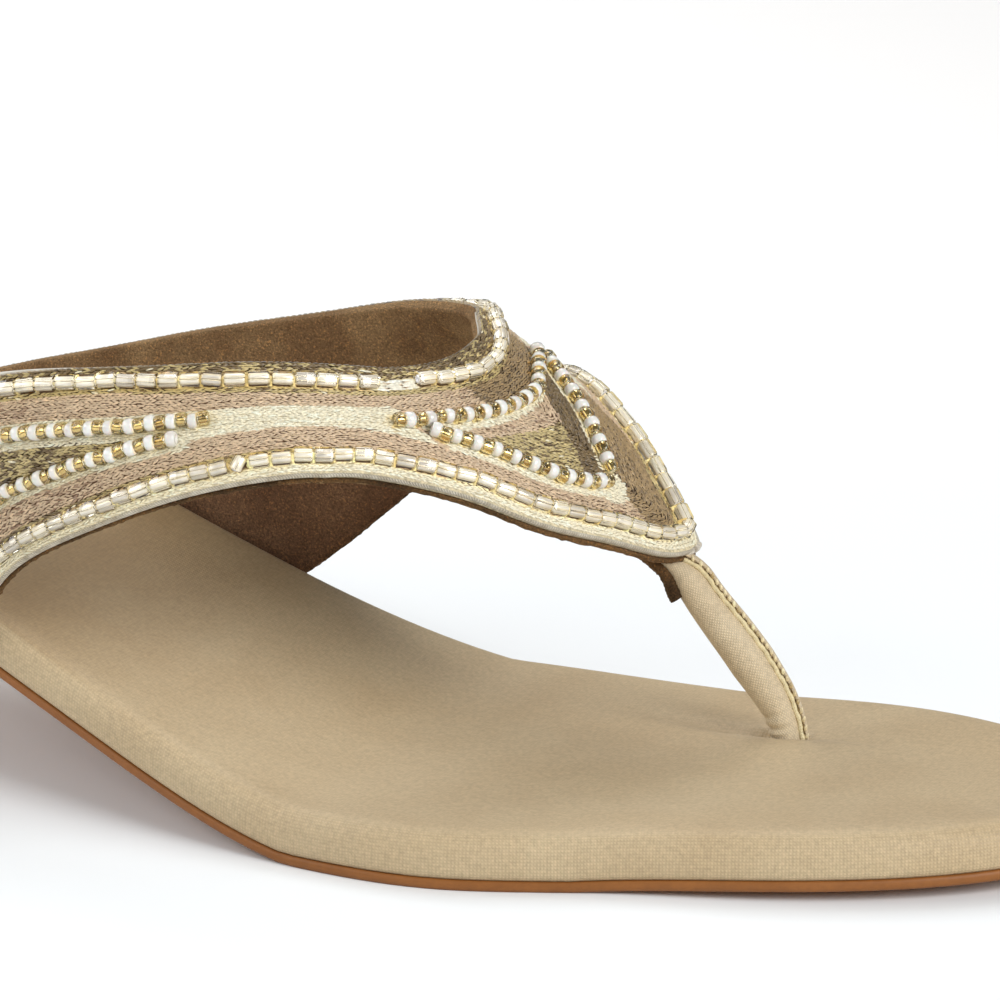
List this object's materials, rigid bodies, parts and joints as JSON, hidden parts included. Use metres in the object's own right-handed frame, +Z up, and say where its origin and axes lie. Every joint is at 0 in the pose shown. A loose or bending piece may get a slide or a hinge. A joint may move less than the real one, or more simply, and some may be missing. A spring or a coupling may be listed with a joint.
{
  "type": "thong sandal",
  "caption": "Right-foot thong sandal with an embroidered V-shaped strap, a toe post, a padded footbed and a low kitten heel.",
  "frame": {"origin": "on the floor, under the middle of the sandal's length and width", "axes": "+X towards the toe, +Y towards the inner (medial) side of the right foot, +Z up"},
  "size_m": [0.25, 0.0799, 0.065],
  "materials": {
    "outsole_rubber": "smooth tan sheet, satin",
    "footbed_cover": "beige synthetic leather with a fine woven grain, satin",
    "upper_fabric": "fabric covered in satin-stitched embroidery",
    "post_cover": "fine woven cream fabric",
    "heel_cover": "beige synthetic leather with a fine woven grain, satin",
    "tip_rubber": "matt dark brown",
    "strap_lining": "brown microfibre suede",
    "piping_fabric": "narrow woven piping, matt",
    "embroidery_thread": "satin thread",
    "clear_beads": "clear glass, polished",
    "gold_beads": "gold-lined glass, polished",
    "white_beads": "opaque white, polished"
  },
  "bodies": {
    "root": {"outsole": "outsole_rubber", "footbed": "footbed_cover", "upper": "upper_fabric", "toe_post": "post_cover", "heel": "heel_cover", "heel_tip": "tip_rubber"}
  },
  "joints": []
}
